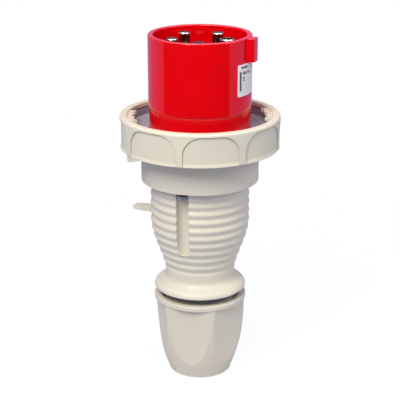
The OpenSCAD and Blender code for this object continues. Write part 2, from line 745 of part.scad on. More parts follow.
module housing_seal() {
    color("#2c2d2f") rotate_extrude() translate([o_ring_r, deck_z - o_ring_s]) circle(o_ring_s, $fn = 32);
}

module neck_ring() {
    color("#55585c") rotate_extrude()
        translate([thread_r + neck_ring_s, flange_z - neck_ring_drop - neck_ring_s]) circle(neck_ring_s, $fn = 32);
}

module threaded_inserts() {
    color("#c8a650") at_screws() translate([0, 0, spigot_z]) difference() {
        cylinder(d = insert_d, h = insert_h);
        translate([0, 0, -1]) cylinder(d = screw_d, h = insert_h + 2);
    }
}

module assembly_screws() {
    head_top = collar_z - washer_h;
    color("#b4bcc6") at_screws() {
        translate([0, 0, head_top]) cylinder(d = screw_d, h = spigot_z + insert_h - head_top);
        difference() {
            translate([0, 0, head_top - head_h]) cylinder(d = head_d, h = head_h);
            cross_recess(head_top - head_h, head_d * 0.6, 1.6);
        }
    }
}

module screw_washers() {
    color("#1d1e20") at_screws() translate([0, 0, collar_z - washer_h]) difference() {
        cylinder(d = head_d + 0.4, h = washer_h);
        translate([0, 0, -1]) cylinder(d = screw_d, h = washer_h + 2);
    }
}

// Rubber bush that the cable passes through, pressed into the neck by the nut
module gland_seal() {
    outer = neck_bore - fit_gap;
    color("#3a3b3d") rotate_extrude() polygon([
        [seal_bore + 1, seal_z], [cage_r, seal_z], [cage_r, neck_z], [outer, neck_z],
        [outer - 1, neck_z + seal_in_len], [seal_bore + 2, neck_z + seal_in_len], [seal_bore, neck_z + seal_in_len - 3],
        [seal_bore, seal_z + 2]
    ]);
}

module slip_ring() {
    color("#e6e4dc") translate([0, 0, slip_z]) difference() {
        cylinder(r = cage_r, h = slip_h);
        translate([0, 0, -1]) cylinder(r = seal_bore + 1.5, h = slip_h + 2);
    }
}

// Ring with fingers that the nut's cone closes on the cable
module clamp_cage() {
    color("#4a4d50") difference() {
        rotate_extrude() polygon([
            [finger_in, slip_z], [cage_r, slip_z], [cage_r, cage_z], [finger_out, cage_z],
            [finger_out, finger_z + 1], [finger_out - 1, finger_z], [finger_in - 1.5, finger_z],
            [finger_in - 1.5, finger_z + 2], [finger_in, finger_z + 4]
        ]);
        for (i = [0:finger_count - 1]) rotate(i * 360 / finger_count)
            translate([0, -1, finger_z - 1]) cube([cage_r + 1, 2, cage_z - finger_z - 2]);
    }
}

// Round body of the nut: lip, convex flank and rounded foot
module nut_profile() {
    lip_round = 1.2;
    foot_round = 2;
    body_r = nut_r - 0.6;
    belly_z = nut_h - 10;
    drop = body_r - nut_foot_r;
    n = 10;
    polygon(concat(
        [[0, 0]],
        [for (i = [0:4]) let (a = i * 15)
            [nut_foot_r - foot_round * (1 - sin(a)) * 0.9, foot_round * (1 - cos(a)) * 0.9]],
        [for (i = [0:n]) let (z = foot_round + (belly_z - foot_round) * i / n)
            [body_r - drop * pow((belly_z - z) / (belly_z - foot_round), 2), z]],
        [[body_r, lip_z - 1], [nut_r, lip_z]],
        arc(nut_r - lip_round, nut_h - lip_round, lip_round, 0, 90, 4),
        [[0, nut_h]]
    ));
}

// Inside of the nut: pocket for the neck ring, thread, chamber, cone for the fingers and cable entry
module nut_hollow() {
    thread_top = nut_h - 2 * neck_ring_s - 1.7;
    chamber_r = cage_r + run_gap + fit_gap;
    thread_foot = slip_z + slip_h;
    cone_r = finger_out + 2 * run_gap;
    groove_r = nut_bore + 0.75 * thread_d;
    thread_count = floor((thread_top - thread_foot - 3) / thread_pitch);
    rotate_extrude() polygon(concat(
        [[0, nut_h + 1], [nut_pocket_r, nut_h + 1], [nut_pocket_r, thread_top + 1.5], [nut_bore, thread_top]],
        [for (k = [0:thread_count - 1]) let (z = thread_top - 2 - k * thread_pitch)
            each [[nut_bore, z + 1], [groove_r, z + 0.35], [groove_r, z - 0.35], [nut_bore, z - 1]]],
        [[nut_bore, thread_foot], [chamber_r, thread_foot - 1], [chamber_r, ledge_z], [finger_out + 2, ledge_z],
         [cone_r, floor_t + 1], [cone_r, floor_t], [entry_r, floor_t], [entry_r, -1], [0, -1]]
    ));
}

module gland_nut() {
    color("#cfc8bc") difference() {
        rotate_extrude() nut_profile();
        nut_hollow();
        for (i = [0:5]) rotate(i * 60 + 35.7) translate([flat_dist, 0, lip_z - 0.3]) rotate([0, flat_lean, 0])
            translate([0, -nut_r, -nut_h]) cube([nut_r, 2 * nut_r, nut_h]);
    }
}

contact_sleeve();
pin_carrier();
lock_plate();
plate_screws();
line_pin_1();
line_pin_2();
line_pin_3();
neutral_pin();
earth_pin();
pilot_pin();
terminal_screws();
rating_label();
face_gasket();
bayonet_ring();
housing();
housing_seal();
neck_ring();
threaded_inserts();
assembly_screws();
screw_washers();
gland_seal();
slip_ring();
clamp_cage();
gland_nut();
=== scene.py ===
"""Five pole pin and sleeve plug: finishes, fine detail, light and camera for its CAD frame.

The frame gives every moulded, turned and cut shape. This file gives each of them the surface that the real
material has, adds the print on the label and the marks beside the contacts, and sets up the studio. Lengths
are in metres, and the frame's own axes hold: +Z along the plug to the pins, +X to the keying nose.
"""

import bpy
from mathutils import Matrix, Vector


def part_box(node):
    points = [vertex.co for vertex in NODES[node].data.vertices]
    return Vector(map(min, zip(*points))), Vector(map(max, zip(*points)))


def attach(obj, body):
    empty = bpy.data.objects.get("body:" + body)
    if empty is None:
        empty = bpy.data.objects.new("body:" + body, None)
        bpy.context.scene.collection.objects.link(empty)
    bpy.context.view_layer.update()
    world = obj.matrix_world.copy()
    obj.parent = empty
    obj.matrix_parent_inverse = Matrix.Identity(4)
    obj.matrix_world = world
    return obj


bl_info = {
    "name": "Pin and Sleeve Plug",
    "version": (1, 0, 0),
    "blender": (4, 5, 0),
    "location": "3D View > Sidebar > Plug",
    "description": "Finishes, print, contact marks, light and camera for a five pole pin and sleeve plug",
    "category": "Object",
}

import bpy
import numpy as np
from bpy.props import FloatProperty, FloatVectorProperty, PointerProperty
from mathutils import Vector

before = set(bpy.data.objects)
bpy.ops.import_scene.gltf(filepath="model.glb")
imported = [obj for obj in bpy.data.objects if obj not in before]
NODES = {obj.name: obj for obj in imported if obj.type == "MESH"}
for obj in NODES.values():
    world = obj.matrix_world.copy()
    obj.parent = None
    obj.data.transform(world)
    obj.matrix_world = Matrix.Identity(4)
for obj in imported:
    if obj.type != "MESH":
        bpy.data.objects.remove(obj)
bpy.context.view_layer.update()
MM = 0.001

# Places that the details are set out from
PIN_FACE_DEPTH = 60 * MM
PIN_FACE_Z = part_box("contact_sleeve")[1][2] - PIN_FACE_DEPTH
LABEL_LOW, LABEL_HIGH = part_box("rating_label")

# Contacts with the diameters of their shafts, in millimetres
CONTACTS = {
    "earth_pin": 10,
    "line_pin_1": 8,
    "line_pin_2": 8,
    "line_pin_3": 8,
    "neutral_pin": 8,
    "pilot_pin": 6,
}

# Marks made of letters: the piece, its text and its contact's direction in degrees from +X
LETTER_MARKS = (
    ("mark_line_1", "L1", 72),
    ("mark_line_2", "L2", 144),
    ("mark_line_3", "L3", 216),
    ("mark_neutral", "N", 288),
)
EARTH_DIRECTION = 0

# Bars of the earth sign, the upright one first: left, right, low and high edge as shares of its height
EARTH_BARS = (
    (-0.08, 0.08, -0.1, 0.55),
    (-0.5, 0.5, -0.18, -0.06),
    (-0.32, 0.32, -0.38, -0.26),
    (-0.14, 0.14, -0.58, -0.46),
)

# Print on the label, in millimetres. Edges to the left and right are measured along the film from the
# middle of the nose, and heights from the label's top edge, so that they are below nought. The ladder is
# a column of bars of these heights, from the top down.
LADDER_BARS = (1.1, 0.4, 0.7, 0.5, 1.3, 0.5, 0.4, 0.9, 0.7, 0.4, 1.2, 0.5, 0.8, 0.4, 1.0, 0.6)
LADDER_GAP = 0.1
LADDER_TOP = -4.7
LADDER_LEFT = -13.7
LADDER_RIGHT = -11.9

# Bars and boxes that stand for words and figures: left, right, low and high edge
PRINT_BARS = (
    # Words along the top
    (-11.9, -10.5, -2.7, -1.3),
    (-10.2, -8.4, -2.7, -1.3),
    (-7.7, -4.8, -2.8, -1.3),
    # Figures, and a square sign after them
    (-10.3, -9.5, -6.9, -5.0),
    (-9.2, -8.4, -6.9, -5.0),
    (-8.1, -7.3, -6.9, -5.0),
    (-7.0, -6.2, -6.9, -5.0),
    (-4.5, -2.5, -6.8, -4.8),
    # Small words below the figures
    (-10.3, -8.2, -9.1, -8.6),
    (-10.3, -8.2, -10.1, -9.6),
    (-10.3, -8.2, -11.1, -10.6),
    # Small print at the right
    (-1.2, 5.2, -3.4, -3.0),
    (-1.2, 3.4, -5.2, -4.8),
    (-1.2, 4.6, -7.0, -6.6),
)

# Lamps: the name of the power, the width and height, and the place across, towards the camera and up
LAMPS = (
    ("key", (0.7, 0.8), (-0.5, 1.0, 1.3)),
    ("fill", (0.7, 0.8), (1.15, 0.4, 0.95)),
    ("top", (0.9, 0.9), (0.0, 0.1, 1.5)),
)

# Height on the plug's axis that the lamps point at
LAMP_AIM = 0.13

# Room that gloss sees: how far its front is turned to the camera's left, as a slope, and the start and the
# end of each soft edge. For the sides of the screens these are values of the dot product of the level
# direction with the front, and for the other edges they are heights of the direction.
FRONT_TURN = 0.165
SCREEN_SIDES = (0.244, 0.204)
SCREEN_TOP = (0.36, 0.42)
CEILING_EDGE = (0.6, 0.7)

# Share of plain white in the floor that the camera sees, and the parts of its radius between which it fades
FLOOR_WHITE = 0.94
FLOOR_FADE = (0.3, 0.95)

# Values between which nearly all of a noise texture lies
NOISE_LOW = 0.3
NOISE_HIGH = 0.7

# Rounding that catches the light on the edges of metal pieces, and the samples of every such rounding
METAL_EDGE = 0.2 * MM
EDGE_SAMPLES = 4

# Sockets of a Mix node for colours, by number since names repeat: share, two colours and result
SHARE = 0
FIRST = 6
SECOND = 7
MIXED = 2


# Colours, nodes and meshes


def linear(hex_colour):
    """sRGB hex to linear light: c / 12.92 up to 0.04045, and ((c + 0.055) / 1.055) ** 2.4 above it."""
    c = np.array([int(hex_colour[i : i + 2], 16) for i in (1, 3, 5)]) / 255
    return tuple(float(v) for v in np.where(c <= 0.04045, c / 12.92, ((c + 0.055) / 1.055) ** 2.4))


# Second tones of the finishes, which the main ones are broken up by
FIBRE_GREY = linear("#5A5C60")
ACETAL_WARM = linear("#DCD9CE")
# Painted light on the contact tips: a painted dark reflection on the tip's flat and a painted highlight
# round its edge
TIP_PAINTED_DARK_REFLECTION = linear("#2C2B2A")
TIP_PAINTED_HIGHLIGHT = linear("#EFEDE8")
ZINC_CLOUD = linear("#C8D0E0")
GASKET_BLOOM = linear("#A49EAC")
SEAL_BLOOM = linear("#6A6D72")
WASHER_BLOOM = linear("#2A2B2E")
LABEL_BORDER = linear("#F4F4F2")
INK_MOTTLE = linear("#26262C")
WHITE = (1, 1, 1)


def opaque(colour):
    """The three values of a colour with an alpha of 1, as a colour socket takes them."""
    return (*colour, 1)


def add_node(tree, kind, inputs=None, **settings):
    """Adds a shader node. inputs gives, by a socket's name or number, its value or the output it takes."""
    node = tree.nodes.new("ShaderNode" + kind)
    for name, value in settings.items():
        setattr(node, name, value)
    for key, value in (inputs or {}).items():
        if isinstance(value, bpy.types.NodeSocket):
            tree.links.new(value, node.inputs[key])
        else:
            node.inputs[key].default_value = value
    return node


def camera_sees(tree):
    """Output that is 1 for the camera's rays, also through something clear, and 0 for light and gloss."""
    path = add_node(tree, "LightPath").outputs
    rays = {0: path["Is Camera Ray"], 1: path["Is Transmission Ray"]}
    return add_node(tree, "Math", rays, operation="MAXIMUM").outputs[0]


def start_material(name, colour, **inputs):
    """New material with a Principled shader, whose even values are the inputs. Returns the material, its
    tree, the shader and the Object coordinates, in metres, that every pattern is laid out in."""
    material = bpy.data.materials.new(name)
    material.use_nodes = True
    material.diffuse_color = opaque(colour)
    tree = material.node_tree
    tree.nodes.clear()
    sockets = {"Base Color": opaque(colour)}
    sockets.update({key.replace("_", " "): value for key, value in inputs.items()})
    shader = add_node(tree, "BsdfPrincipled", sockets)
    add_node(tree, "OutputMaterial", {"Surface": shader.outputs[0]})
    return material, tree, shader, add_node(tree, "TexCoord").outputs["Object"]


def finish_nodes(material, *names):
    """Puts the material in every slot of these CAD nodes."""
    for name in names:
        for material_slot in NODES[name].material_slots:
            material_slot.material = material


def add_piece(name, vertices, faces, material, body, smooth):
    """A new mesh object at the origin, with its place in its vertices, that rides on a body."""
    mesh = bpy.data.meshes.new(name)
    mesh.from_pydata(vertices.tolist(), [], faces)
    mesh.polygons.foreach_set("use_smooth", np.full(len(mesh.polygons), smooth))
    mesh.materials.append(material)
    mesh.update()
    piece = bpy.data.objects.new(name, mesh)
    bpy.context.scene.collection.objects.link(piece)
    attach(piece, body)
    return piece


def wrapped_patches(patches, radius, steps):
    """Rectangles wrapped round the Z axis. A patch is (s0, s1, z0, z1), with s measured along the curve:
    the point at (s, z) is (radius * cos(s / radius), radius * sin(s / radius), z). Each is a grid of
    steps by 1 faces. Returns the vertices and the faces."""
    t = np.linspace(0, 1, steps + 1)
    s = patches[:, :1] + (patches[:, 1:2] - patches[:, :1]) * t
    ring = np.stack([radius * np.cos(s / radius), radius * np.sin(s / radius)], -1)
    low = np.concatenate([ring, np.broadcast_to(patches[:, None, 2:3], ring[..., :1].shape)], -1)
    high = np.concatenate([ring, np.broadcast_to(patches[:, None, 3:4], ring[..., :1].shape)], -1)
    vertices = np.stack([low, high], 1).reshape(-1, 3)
    i = np.arange(steps)
    first = np.stack([i, i + 1, i + steps + 2, i + steps + 1], -1)
    faces = (first[None] + (2 * (steps + 1) * np.arange(len(patches)))[:, None, None]).reshape(-1, 4)
    return vertices, faces


def disc(radius, rings, sectors):
    """Flat disc at z 0: the point at (u, v) is radius * u**2 from the middle, at the angle 2 pi v, so
    that the rings are closest under the plug. Returns the vertices, the quads between the rings and the
    triangles that close the middle."""
    u = radius * (np.arange(1, rings + 1) / rings) ** 2
    a = 2 * np.pi * np.arange(sectors) / sectors
    grid = np.stack([np.outer(u, np.cos(a)), np.outer(u, np.sin(a)), np.zeros((rings, sectors))], -1)
    vertices = np.concatenate([np.zeros((1, 3)), grid.reshape(-1, 3)])
    j = np.arange(sectors)
    k = (j + 1) % sectors
    i = np.arange(rings - 1)[:, None] * sectors + 1
    quads = np.stack([i + j, i + sectors + j, i + sectors + k, i + k], -1).reshape(-1, 4)
    return vertices, quads, np.stack([np.zeros(sectors, int), j + 1, k + 1], -1)


def raised_bars(bars, thickness):
    """Boxes over rectangles in the XY plane. A bar is (x0, x1, y0, y1), and its eight corners are those of
    the rectangle at -thickness / 2, then at thickness / 2. Returns the vertices and the faces."""
    corners = bars[:, [0, 2, 1, 2, 1, 3, 0, 3]].reshape(-1, 4, 2)
    depth = np.full((len(bars), 4, 1), thickness / 2)
    low = np.concatenate([corners, -depth], -1)
    high = np.concatenate([corners, depth], -1)
    box = np.array([[3, 2, 1, 0], [4, 5, 6, 7], [0, 1, 5, 4], [1, 2, 6, 5], [2, 3, 7, 6], [3, 0, 4, 7]])
    faces = (box[None] + 8 * np.arange(len(bars))[:, None, None]).reshape(-1, 4)
    return np.concatenate([low, high], 1).reshape(-1, 3), faces.tolist()


def raised_letters(text, size, thickness):
    """Letters in the built-in typeface, round the origin. The text object that they are taken from is
    removed. Returns the vertices and the faces."""
    letters = bpy.data.curves.new("letters", "FONT")
    letters.body = text
    letters.align_x = "CENTER"
    letters.align_y = "CENTER"
    letters.size = size
    letters.extrude = thickness / 2
    letters.resolution_u = 3
    source = bpy.data.objects.new("letters", letters)
    flat = source.to_mesh()
    vertices = np.zeros(len(flat.vertices) * 3, np.float32)
    flat.vertices.foreach_get("co", vertices)
    faces = [list(face.vertices) for face in flat.polygons]
    source.to_mesh_clear()
    bpy.data.objects.remove(source)
    bpy.data.curves.remove(letters)
    return vertices.reshape(-1, 3), faces


# Sizes and colours


def colour_property(name, hex_colour, description):
    """Colour of a finish or a light, given as sRGB hex and held as linear light."""
    return FloatVectorProperty(
        name=name,
        description=description,
        subtype="COLOR",
        size=3,
        min=0,
        max=1,
        default=linear(hex_colour),
    )


def length_property(name, millimetres, description):
    """Length, given in millimetres and held in metres."""
    return FloatProperty(
        name=name,
        description=description,
        subtype="DISTANCE",
        unit="LENGTH",
        min=0,
        precision=5,
        default=millimetres * MM,
    )


def power_property(name, watts, description):
    """Power of a lamp."""
    return FloatProperty(name=name, description=description, unit="POWER", min=0, default=watts)


def level_property(name, level, highest, description):
    """Brightness of a part of the room, up to the highest that the panel takes. 1 shows as white."""
    return FloatProperty(name=name, description=description, min=0, max=highest, default=level)


class PlugColours(bpy.types.PropertyGroup):
    """Colours of the plug's materials."""

    red: colour_property("Sleeve red", "#EC000A", "Red of the contact sleeve")
    red_deep: colour_property("Sleeve deep red", "#DC000A", "Deeper red that the sleeve drifts to")
    ring: colour_property("Ring grey", "#DFDABF", "Light grey of the bayonet ring")
    housing: colour_property("Housing grey", "#DDD6C4", "Light grey of the housing")
    nut: colour_property("Nut grey", "#D3CAB9", "Light grey of the gland nut")
    drift: colour_property("Grey drift", "#D9CFBB", "Warmer tone that the light greys drift to")
    carrier: colour_property("Carrier black", "#2E3033", "Black of the pin carrier and the clamp cage")
    slip: colour_property("Slip white", "#E6E4DC", "White of the lock plate and the slip ring")
    nickel: colour_property("Contact nickel", "#8F8D89", "Nickel plating of the contacts")
    zinc: colour_property("Screw zinc", "#E4EAF6", "Zinc plating of the screws")
    brass: colour_property("Insert brass", "#C8A650", "Brass of the threaded inserts")
    gasket: colour_property("Gasket rubber", "#9894A0", "Purple grey of the face gasket")
    rubber: colour_property("Seal rubber", "#4B4E52", "Dark grey of the neck ring and of the seals")
    washer: colour_property("Washer rubber", "#151618", "Black of the rubber washers")
    label: colour_property("Label film", "#EBEBDD", "Film of the label")
    ink: colour_property("Label ink", "#141418", "Print on the label")


class PlugDetails(bpy.types.PropertyGroup):
    """Sizes of the surface detail."""

    edge_round: length_property("Edge rounding", 0.35, "Rounding that catches the light on most edges")
    rim_round: length_property("Rim rounding", 0.7, "Rounding that catches the light on the sleeve")
    spark_grain: length_property("Spark grain", 0.45, "Grain that a spark eroded mould leaves")
    peel: length_property("Flow waves", 5.0, "Spacing of the shallow waves in a polished moulding")
    lathe_lines: length_property("Lathe lines", 0.35, "Spacing of the turning lines on the contacts")
    print_thickness: length_property("Print thickness", 0.02, "Thickness of the ink on the label")
    mark_size: length_property("Mark size", 4.0, "Height of the marks beside the contacts")
    mark_relief: length_property("Mark relief", 0.3, "How far the marks stand out of the pin face")
    mark_circle: length_property("Mark circle", 27.6, "Radius of the circle that the marks stand on")


class PlugStudio(bpy.types.PropertyGroup):
    """Light and camera."""

    key: power_property("Key light", 22.5, "Power of the key light")
    fill: power_property("Fill light", 5.6, "Power of the fill light")
    top: power_property("Top light", 4, "Power of the top light")
    room: level_property("Room light", 0.54, 2, "Level of the even light all round")
    walls: level_property("Pale walls", 0.62, 2, "Brightness of the pale walls in gloss")
    ceiling: level_property("Pale ceiling", 2.4, 5, "Brightness of the pale ceiling in gloss")
    warm: colour_property("Warm light", "#FFFDF5", "Tint of the lamps and of the ceiling in gloss")
    cool: colour_property("Cool light", "#D1DAFA", "Tint of the even light")
    board: colour_property("Board", "#C8CAD2", "Tint of the light off the board that the plug stands on")
    screens: colour_property("Screens", "#D0C2FF", "Tint of the pale walls in gloss")
    front: level_property("Dark front", 0.03, 1, "Brightness of the room behind the camera in gloss")
    camera_out: length_property("Camera distance", 807.7, "Level distance from the axis to the camera")
    camera_up: length_property("Camera height", 406.5, "Height of the camera above the floor")
    aim_up: length_property("Aim height", 128.4, "Height on the axis that the camera looks at")
    azimuth: FloatProperty(
        name="Azimuth",
        description="Direction of the camera round the plug, from +X",
        subtype="ANGLE",
        default=np.radians(-69.3),
    )
    lens: FloatProperty(
        name="Focal length",
        description="Focal length on a 36 mm sensor",
        unit="CAMERA",
        min=1,
        default=108.96,
    )
    floor_radius: length_property("Floor radius", 400, "Radius of the pale floor")


# Materials


def red_polyamide(colours, details):
    """Polyamide 6 with a red masterbatch, injection moulded against polished steel: a saturated red that
    deepens a little in broad drifts, a clear reflection broken only by shallow flow waves, and soft
    bright edges."""
    drift_size = 26 * MM
    wear_size = 9 * MM
    material, tree, shader, place = start_material(
        "polyamide_red_polished", colours.red, IOR=1.52, Specular_IOR_Level=0.5
    )
    drift = add_node(
        tree, "TexNoise", {"Vector": place, "Scale": 1 / drift_size, "Detail": 2, "Roughness": 0.4}
    )
    tone = add_node(
        tree,
        "Mix",
        {SHARE: drift.outputs[0], FIRST: opaque(colours.red), SECOND: opaque(colours.red_deep)},
        data_type="RGBA",
    )
    wear = add_node(
        tree, "TexNoise", {"Vector": place, "Scale": 1 / wear_size, "Detail": 3, "Roughness": 0.6}
    )
    gloss = add_node(
        tree,
        "MapRange",
        {
            "Value": wear.outputs[0],
            "From Min": NOISE_LOW,
            "From Max": NOISE_HIGH,
            "To Min": 0.07,
            "To Max": 0.12,
        },
    )
    waves = add_node(
        tree, "TexNoise", {"Vector": place, "Scale": 1 / details.peel, "Detail": 1, "Roughness": 0.3}
    )
    edge = add_node(tree, "Bevel", {"Radius": details.rim_round}, samples=EDGE_SAMPLES)
    relief = add_node(
        tree,
        "Bump",
        {"Strength": 0.35, "Distance": 0.02 * MM, "Height": waves.outputs[0], "Normal": edge.outputs[0]},
    )
    tree.links.new(tone.outputs[MIXED], shader.inputs["Base Color"])
    tree.links.new(gloss.outputs[0], shader.inputs["Roughness"])
    tree.links.new(relief.outputs[0], shader.inputs["Normal"])
    return material


def satin_polyamide(name, colour, warm, details):
    """Polyamide 6 in light grey, injection moulded against spark eroded steel: an even, slightly warm
    grey with a satin sheen, a fine pebble grain that breaks up the reflections, and a hair of flash along
    the mould's joint, which lies in the plane of the side lug. The grain is 0.1 to 0.2 mm on the real
    part and is drawn coarser."""
    drift_size = 34 * MM
    wear_size = 6 * MM
    flash_width = 0.16 * MM
    material, tree, shader, place = start_material(name, colour, IOR=1.52, Specular_IOR_Level=0.35)
    drift = add_node(
        tree, "TexNoise", {"Vector": place, "Scale": 1 / drift_size, "Detail": 3, "Roughness": 0.5}
    )
    tone = add_node(
        tree,
        "Mix",
        {SHARE: drift.outputs[0], FIRST: opaque(colour), SECOND: opaque(warm)},
        data_type="RGBA",
    )
    wear = add_node(
        tree, "TexNoise", {"Vector": place, "Scale": 1 / wear_size, "Detail": 4, "Roughness": 0.6}
    )
    gloss = add_node(
        tree,
        "MapRange",
        {
            "Value": wear.outputs[0],
            "From Min": NOISE_LOW,
            "From Max": NOISE_HIGH,
            "To Min": 0.36,
            "To Max": 0.48,
        },
    )
    grain = add_node(
        tree,
        "TexNoise",
        {"Vector": place, "Scale": 1 / details.spark_grain, "Detail": 2, "Roughness": 0.6},
    )
    parts = add_node(tree, "SeparateXYZ", {"Vector": place})
    distance = add_node(tree, "Math", {0: parts.outputs["Y"]}, operation="ABSOLUTE")
    flash = add_node(
        tree,
        "MapRange",
        {"Value": distance.outputs[0], "From Max": flash_width, "To Min": 1.0, "To Max": 0.0},
    )
    edge = add_node(tree, "Bevel", {"Radius": details.edge_round}, samples=EDGE_SAMPLES)
    pebbles = add_node(
        tree,
        "Bump",
        {"Strength": 0.22, "Distance": 0.03 * MM, "Height": grain.outputs[0], "Normal": edge.outputs[0]},
    )
    joint = add_node(
        tree,
        "Bump",
        {
            "Strength": 0.5,
            "Distance": 0.06 * MM,
            "Height": flash.outputs[0],
            "Normal": pebbles.outputs[0],
        },
    )
    tree.links.new(tone.outputs[MIXED], shader.inputs["Base Color"])
    tree.links.new(gloss.outputs[0], shader.inputs["Roughness"])
    tree.links.new(joint.outputs[0], shader.inputs["Normal"])
    return material


def filled_polyamide(colours, details):
    """Polyamide 66 with a third of glass fibre, in black: dull, with short pale fibres lying just under
    the skin, along the plug. They are 0.01 mm thick on the real part and are drawn coarser."""
    fibre_width = 0.3 * MM
    fibre_lay = (1, 1, 0.3)
    material, tree, shader, place = start_material(
        "polyamide_black_glass_filled", colours.carrier, Roughness=0.55, IOR=1.54
    )
    lay = add_node(tree, "Mapping", {"Vector": place, "Scale": fibre_lay})
    fibres = add_node(
        tree,
        "TexNoise",
        {"Vector": lay.outputs[0], "Scale": 1 / fibre_width, "Detail": 2, "Roughness": 0.7},
    )
    pale = add_node(
        tree, "MapRange", {"Value": fibres.outputs[0], "From Min": 0.6, "From Max": 0.8, "To Max": 0.5}
    )
    tone = add_node(
        tree,
        "Mix",
        {SHARE: pale.outputs[0], FIRST: opaque(colours.carrier), SECOND: opaque(FIBRE_GREY)},
        data_type="RGBA",
    )
    edge = add_node(tree, "Bevel", {"Radius": details.edge_round}, samples=EDGE_SAMPLES)
    skin = add_node(
        tree,
        "Bump",
        {"Strength": 0.3, "Distance": 0.02 * MM, "Height": fibres.outputs[0], "Normal": edge.outputs[0]},
    )
    tree.links.new(tone.outputs[MIXED], shader.inputs["Base Color"])
    tree.links.new(skin.outputs[0], shader.inputs["Normal"])
    return material


def acetal(colours, details):
    """Acetal in its natural white, moulded: waxy and slightly see-through at the edges, with a soft broad
    shine."""
    wax_size = 8 * MM
    material, tree, shader, place = start_material(
        "acetal_natural", colours.slip, IOR=1.48, Subsurface_Weight=0.08, Subsurface_Scale=1.5 * MM
    )
    wax = add_node(
        tree, "TexNoise", {"Vector": place, "Scale": 1 / wax_size, "Detail": 3, "Roughness": 0.5}
    )
    tone = add_node(
        tree,
        "Mix",
        {SHARE: wax.outputs[0], FIRST: opaque(colours.slip), SECOND: opaque(ACETAL_WARM)},
        data_type="RGBA",
    )
    gloss = add_node(
        tree,
        "MapRange",
        {
            "Value": wax.outputs[0],
            "From Min": NOISE_LOW,
            "From Max": NOISE_HIGH,
            "To Min": 0.28,
            "To Max": 0.42,
        },
    )
    edge = add_node(tree, "Bevel", {"Radius": details.edge_round}, samples=EDGE_SAMPLES)
    tree.links.new(tone.outputs[MIXED], shader.inputs["Base Color"])
    tree.links.new(gloss.outputs[0], shader.inputs["Roughness"])
    tree.links.new(edge.outputs[0], shader.inputs["Normal"])
    return material


def turned_nickel(name, colours, details):
    """Brass bar turned on a lathe and nickel plated: a dark, neutral mirror with fine turning lines,
    which run round the shaft and in circles on the tip, so the pattern follows the distance from this
    pin's own axis. A painted highlight rings the edge of the tip, and the rest of the tip has a painted
    dark reflection. The lines are about 0.1 mm apart on the real part and are drawn coarser."""
    low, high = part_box(name)
    middle = [-(low[0] + high[0]) / 2, -(low[1] + high[1]) / 2, 0]
    # Height at which the tip's painted dark reflection and painted highlight start and where they are
    # whole, and the radius of the painted highlight ring
    tip_start = high[2] - 1.5 * MM
    tip_whole = high[2] - 1.25 * MM
    painted_highlight_radius = (CONTACTS[name] / 2 - 0.4) * MM
    soft = 0.1 * MM
    smear_size = 5 * MM
    material, tree, shader, place = start_material(
        "nickel_plated_brass_" + name, colours.nickel, Metallic=1.0
    )
    centred = add_node(tree, "Mapping", {"Vector": place, "Location": middle})
    parts = add_node(tree, "SeparateXYZ", {"Vector": centred.outputs[0]})
    flat = add_node(tree, "CombineXYZ", {"X": parts.outputs["X"], "Y": parts.outputs["Y"]})
    radius = add_node(tree, "VectorMath", {0: flat.outputs[0]}, operation="LENGTH").outputs["Value"]
    path = add_node(tree, "CombineXYZ", {"X": radius, "Z": parts.outputs["Z"]})
    lines = add_node(
        tree,
        "TexNoise",
        {"Vector": path.outputs[0], "Scale": 1 / details.lathe_lines, "Detail": 2, "Roughness": 0.6},
    )
    tip = add_node(
        tree, "MapRange", {"Value": parts.outputs["Z"], "From Min": tip_start, "From Max": tip_whole}
    )
    # Painted highlight ring round the edge of the tip, over a painted dark reflection on the rest of the
    # tip
    painted_highlight_ring = add_node(
        tree,
        "MapRange",
        {"Value": radius, "From Min": painted_highlight_radius - soft, "From Max": painted_highlight_radius + soft},
    )
    ends = add_node(
        tree,
        "Mix",
        {SHARE: painted_highlight_ring.outputs[0], FIRST: opaque(TIP_PAINTED_DARK_REFLECTION), SECOND: opaque(TIP_PAINTED_HIGHLIGHT)},
        data_type="RGBA",
    )
    tone = add_node(
        tree,
        "Mix",
        {SHARE: tip.outputs[0], FIRST: opaque(colours.nickel), SECOND: ends.outputs[MIXED]},
        data_type="RGBA",
    )
    smear = add_node(
        tree, "TexNoise", {"Vector": place, "Scale": 1 / smear_size, "Detail": 3, "Roughness": 0.6}
    )
    gloss = add_node(
        tree,
        "MapRange",
        {
            "Value": smear.outputs[0],
            "From Min": NOISE_LOW,
            "From Max": NOISE_HIGH,
            "To Min": 0.13,
            "To Max": 0.26,
        },
    )
    edge = add_node(tree, "Bevel", {"Radius": METAL_EDGE}, samples=EDGE_SAMPLES)
    cut = add_node(
        tree,
        "Bump",
        {"Strength": 0.25, "Distance": 0.01 * MM, "Height": lines.outputs[0], "Normal": edge.outputs[0]},
    )
    tree.links.new(tone.outputs[MIXED], shader.inputs["Base Color"])
    tree.links.new(gloss.outputs[0], shader.inputs["Roughness"])
    tree.links.new(cut.outputs[0], shader.inputs["Normal"])
    return material


def zinc_steel(colours):
    """Steel screws, cold headed and zinc plated with a clear bluish passivation: cool grey, cloudy and half
    bright."""
    cloud_size = 1.6 * MM
    material, tree, shader, place = start_material(
        "steel_zinc_blue_passivated", colours.zinc, Metallic=1.0
    )
    cloud = add_node(
        tree, "TexNoise", {"Vector": place, "Scale": 1 / cloud_size, "Detail": 3, "Roughness": 0.6}
    )
    tone = add_node(
        tree,
        "Mix",
        {SHARE: cloud.outputs[0], FIRST: opaque(colours.zinc), SECOND: opaque(ZINC_CLOUD)},
        data_type="RGBA",
    )
    gloss = add_node(
        tree,
        "MapRange",
        {
            "Value": cloud.outputs[0],
            "From Min": NOISE_LOW,
            "From Max": NOISE_HIGH,
            "To Min": 0.38,
            "To Max": 0.52,
        },
    )
    edge = add_node(tree, "Bevel", {"Radius": METAL_EDGE}, samples=EDGE_SAMPLES)
    tree.links.new(tone.outputs[MIXED], shader.inputs["Base Color"])
    tree.links.new(gloss.outputs[0], shader.inputs["Roughness"])
    tree.links.new(edge.outputs[0], shader.inputs["Normal"])
    return material


